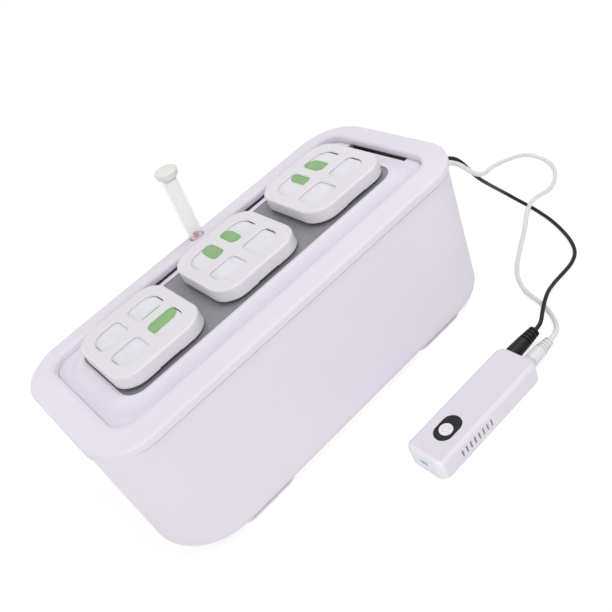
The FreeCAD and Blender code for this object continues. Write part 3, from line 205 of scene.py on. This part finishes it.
# Name, sRGB colour, spread of tone, patches in a metre, roughness, grain's scale and depth, other sockets.
FINISHES = [
    ("shell_white", (227, 221, 232), 0.012, 9.0, (0.4, 0.5), (1500.0, 0.00003), {}),
    ("rim_white", (226, 221, 232), 0.012, 12.0, (0.42, 0.52), (1600.0, 0.00002), {}),
    ("cap_white", (225, 221, 227), 0.012, 20.0, (0.36, 0.46), (1600.0, 0.00002), {}),
    ("panel_grey", (134, 134, 139), 0.05, 25.0, (0.2, 0.3), (1800.0, 0.00003), {}),
    ("clear_tube", (246, 246, 248), 0.01, 40.0, (0.16, 0.24), None, {"Alpha": 0.27}),
    ("ivory", (226, 225, 221), 0.015, 60.0, (0.35, 0.45), (1500.0, 0.00003), {}),
    ("foam", (238, 236, 230), 0.03, 90.0, (0.7, 0.85), (900.0, 0.0001), {}),
    ("marker_red", (200, 18, 20), 0.05, 120.0, (0.3, 0.4), (1500.0, 0.00002), {}),
    ("grommet_rubber", (214, 210, 216), 0.03, 90.0, (0.6, 0.72), (1200.0, 0.00005), {}),
    ("pump_dark", (52, 53, 56), 0.12, 60.0, (0.42, 0.55), (1300.0, 0.00004), {}),
    ("impeller_white", (228, 228, 226), 0.02, 90.0, (0.35, 0.45), (1300.0, 0.00003), {}),
    ("stone_grey", (150, 152, 155), 0.25, 700.0, (0.85, 0.95), (1400.0, 0.0004), {}),
    ("unit_white", (224, 220, 229), 0.012, 30.0, (0.36, 0.46), (1600.0, 0.00003), {}),
    ("end_cap_white", (232, 234, 240), 0.012, 60.0, (0.4, 0.5), (1600.0, 0.00003), {}),
    ("bezel_black", (24, 22, 25), 0.1, 80.0, (0.25, 0.36), (1600.0, 0.00002), {"Specular IOR Level": 0.35}),
    ("button_white", (236, 234, 238), 0.015, 150.0, (0.3, 0.4), (1800.0, 0.00002), {}),
    ("board_green", (28, 92, 58), 0.15, 200.0, (0.35, 0.5), (2000.0, 0.00003), {}),
    ("steel", (190, 191, 194), 0.06, 120.0, (0.2, 0.34), (2200.0, 0.00002), {"Metallic": 1.0}),
    ("battery_foil", (178, 180, 186), 0.08, 60.0, (0.28, 0.4), (500.0, 0.0001), {"Metallic": 0.9}),
    # The baskets' dark grey is partly painted shade: it darkens the flanges so the gap under the caps reads
    # as shadow.
    ("basket_grey", (62, 62, 66), 0.05, 40.0, (0.42, 0.52), (1400.0, 0.00003), {}),
    ("sponge_white", (228, 228, 234), 0.03, 160.0, (0.85, 0.95), (1100.0, 0.0003), {}),
    ("tag_green", (135, 177, 119), 0.06, 140.0, (0.4, 0.52), (2200.0, 0.00002), {}),
    ("lead_black", (20, 19, 21), 0.12, 160.0, (0.36, 0.5), (1500.0, 0.00005), {"Specular IOR Level": 0.25}),
    ("hose_white", (221, 220, 224), 0.015, 120.0, (0.3, 0.4), None, {}),
]

RING_RADIUS = 0.0024
RING_WIDTH = 0.0005
RING_COLOUR = (210, 209, 213)


def make_finishes():
    made = {name: Finish(name, srgb(*colour), *rest) for name, colour, *rest in FINISHES}
    low, high = (Vector(corner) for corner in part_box("power_button"))
    made["button_white"].print_ring((low + high) / 2, RING_RADIUS, RING_WIDTH, srgb(*RING_COLOUR))
    return {name: finish.material for name, finish in made.items()}


def dress_nodes(finishes):
    """Each CAD node takes the finish that stands for its material slot."""
    for piece in nodes.values():
        for slot in piece.material_slots:
            slot.material = finishes[slot.material.name]
    nodes["unit_end_cap"].material_slots[0].material = finishes["end_cap_white"]


# Cords

CORD_SIDES = 6
CORD_STEPS = 8


def add_cord(name, route, diameter, material):
    curve = bpy.data.curves.new(name, "CURVE")
    curve.dimensions = "3D"
    curve.bevel_depth = diameter / 2
    curve.bevel_resolution = CORD_SIDES
    curve.resolution_u = CORD_STEPS
    curve.use_fill_caps = True
    spline = curve.splines.new("NURBS")
    spline.points.add(len(route) - 1)
    for point, place in zip(spline.points, route):
        point.co = (*(Vector(place) * MM), 1)
    spline.order_u = 3
    spline.use_endpoint_u = True
    curve.materials.append(material)
    cord = add_object(name, curve)
    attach(cord, "planter")
    return cord


def add_cords(finishes):
    lead = add_cord("pump_lead_cord", LEAD_ROUTE, LEAD_DIAMETER, finishes["lead_black"])
    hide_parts("pump_lead")
    hose = add_cord("air_hose_line", HOSE_ROUTE, HOSE_DIAMETER, finishes["hose_white"])
    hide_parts("air_hose")


# Growing sponges

SPONGE_CELLS = 44
SPONGE_SIDE_CELLS = 22
SPONGE_CORNER = 0.0085
SPONGE_EDGE = 0.0008
SPONGE_EDGE_START = 0.97
SPONGE_FOOT_SHARE = 0.89
SPONGE_TAPER_END = 0.70
SPONGE_PIT = 0.00045
SPONGE_PIT_SCALE = 420
SPONGE_SWELL = 0.0003
SPONGE_SWELL_SCALE = 60
SPONGE_SEED = Vector((7.3, 3.1, 5.7))


def round_corner(x, y, half, corner):
    """Moves a point of a rectangle to the same place in a rectangle with round corners."""
    past = Vector((abs(x) - half.x + corner, abs(y) - half.y + corner))
    if min(past) <= 0:
        return x, y
    past *= max(past) / past.length
    return math.copysign(half.x - corner + past.x, x), math.copysign(half.y - corner + past.y, y)


def upright_edges(shape):
    return [edge for edge in shape.edges if abs(edge.verts[0].co.z - edge.verts[1].co.z) > 1]


def add_sponge(number, material):
    """A cut foam block, wider at its top, with an open-pored skin and softened edges."""
    low, high = (Vector(corner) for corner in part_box(f"sponge_{number}"))
    middle = (low + high) / 2
    half = (high - low).xy / 2
    height = high.z - low.z
    shape = bmesh.new()
    bmesh.ops.create_cube(shape, size=2.0)
    upright = set(upright_edges(shape))
    flat = [edge for edge in shape.edges if edge not in upright]
    bmesh.ops.subdivide_edges(shape, edges=flat, cuts=SPONGE_CELLS, use_grid_fill=True)
    bmesh.ops.subdivide_edges(shape, edges=upright_edges(shape), cuts=SPONGE_SIDE_CELLS, use_grid_fill=True)
    for vert in shape.verts:
        up = (vert.co.z + 1) / 2
        x, y = round_corner(vert.co.x * half.x, vert.co.y * half.y, half, SPONGE_CORNER)
        ease = SPONGE_FOOT_SHARE + (1 - SPONGE_FOOT_SHARE) * min(1.0, up / SPONGE_TAPER_END)
        vert.co = Vector((x * ease, y * ease, low.z + up * height))
    shape.normal_update()
    seed = SPONGE_SEED * number
    for vert in shape.verts:
        place = vert.co.copy()
        swell = noise.noise(place * SPONGE_SWELL_SCALE + seed)
        pits = max(0.0, noise.noise(place * SPONGE_PIT_SCALE + seed))
        edge = max(abs(place.x) / half.x, abs(place.y) / half.y)
        top = max(0.0, 1 - (high.z - place.z) / SPONGE_EDGE)
        fall = max(0.0, (edge - SPONGE_EDGE_START) / (1 - SPONGE_EDGE_START)) ** 2 * SPONGE_EDGE * top
        vert.co -= vert.normal * (SPONGE_SWELL * (1 + swell) / 2 + SPONGE_PIT * pits)
        vert.co.z -= fall
        vert.co.x += middle.x
        vert.co.y += middle.y
    mesh = bpy.data.meshes.new(f"sponge_block_{number}")
    shape.to_mesh(mesh)
    shape.free()
    for face in mesh.polygons:
        face.use_smooth = True
    mesh.materials.append(material)
    sponge = add_object(f"sponge_block_{number}", mesh)
    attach(sponge, f"basket_{number}")
    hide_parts(f"sponge_{number}")


# Stage

FLOOR_SIZE = 16.0
FLOOR_ALBEDO = 0.8
FLOOR_GLOW = 0.81
FLOOR_SHADE = 0.26
WORLD_LIGHT = 0.54
LAMPS = [
    ("key", Vector((0.75, -0.35, 1.7)), 1.1, 12.8),
    ("fill", Vector((-1.3, -1.75, 0.6)), 1.6, 20.0),
    ("back", Vector((-0.9, 1.7, 0.9)), 1.6, 7.5),
]


def seen_directly(tree):
    """One for rays from the camera, mirrors and glass, else zero."""
    path = tree.nodes.new("ShaderNodeLightPath")
    total = path.outputs["Is Camera Ray"]
    for kind in ("Is Glossy Ray", "Is Transmission Ray"):
        either = tree.nodes.new("ShaderNodeMath")
        either.operation = "MAXIMUM"
        tree.links.new(total, either.inputs[0])
        tree.links.new(path.outputs[kind], either.inputs[1])
        total = either.outputs[0]
    return total


def add_floor():
    mesh = bpy.data.meshes.new("floor")
    half = FLOOR_SIZE / 2
    corners = [(-half, -half, 0), (half, -half, 0), (half, half, 0), (-half, half, 0)]
    mesh.from_pydata(corners, [], [(0, 1, 2, 3)])
    material = bpy.data.materials.new("floor")
    material.use_nodes = True
    tree = material.node_tree
    tree.nodes.clear()
    pale = tree.nodes.new("ShaderNodeBsdfDiffuse")
    pale.inputs["Color"].default_value = (FLOOR_ALBEDO, FLOOR_ALBEDO, FLOOR_ALBEDO, 1)
    shaded = tree.nodes.new("ShaderNodeBsdfDiffuse")
    shaded.inputs["Color"].default_value = (FLOOR_SHADE, FLOOR_SHADE, FLOOR_SHADE, 1)
    glow = tree.nodes.new("ShaderNodeEmission")
    glow.inputs["Strength"].default_value = FLOOR_GLOW
    both = tree.nodes.new("ShaderNodeAddShader")
    tree.links.new(shaded.outputs[0], both.inputs[0])
    tree.links.new(glow.outputs[0], both.inputs[1])
    choice = tree.nodes.new("ShaderNodeMixShader")
    tree.links.new(seen_directly(tree), choice.inputs[0])
    tree.links.new(pale.outputs[0], choice.inputs[1])
    tree.links.new(both.outputs[0], choice.inputs[2])
    output = tree.nodes.new("ShaderNodeOutputMaterial")
    tree.links.new(choice.outputs[0], output.inputs["Surface"])
    mesh.materials.append(material)
    floor = add_object("floor", mesh)


def add_light():
    world = bpy.data.worlds.new("studio")
    bpy.context.scene.world = world
    world.use_nodes = True
    tree = world.node_tree
    soft = tree.nodes["Background"]
    soft.inputs["Strength"].default_value = WORLD_LIGHT
    soft.inputs["Color"].default_value = (1, 1, 1, 1)
    white = tree.nodes.new("ShaderNodeBackground")
    white.inputs["Color"].default_value = (1, 1, 1, 1)
    choice = tree.nodes.new("ShaderNodeMixShader")
    tree.links.new(seen_directly(tree), choice.inputs[0])
    tree.links.new(soft.outputs[0], choice.inputs[1])
    tree.links.new(white.outputs[0], choice.inputs[2])
    tree.links.new(choice.outputs[0], tree.nodes["World Output"].inputs["Surface"])
    for name, place, size, power in LAMPS:
        lamp = bpy.data.lights.new(name, "AREA")
        lamp.energy = power
        lamp.size = size
        light = add_object(name, lamp)
        light.location = place
        light.rotation_euler = (-place).to_track_quat("-Z", "Y").to_euler()


finishes = make_finishes()
add_camera()
add_cords(finishes)
dress_nodes(finishes)
for pod in (1, 2, 3):
    add_sponge(pod, finishes["sponge_white"])
add_floor()
add_light()
bpy.context.scene.view_settings.view_transform = "Standard"
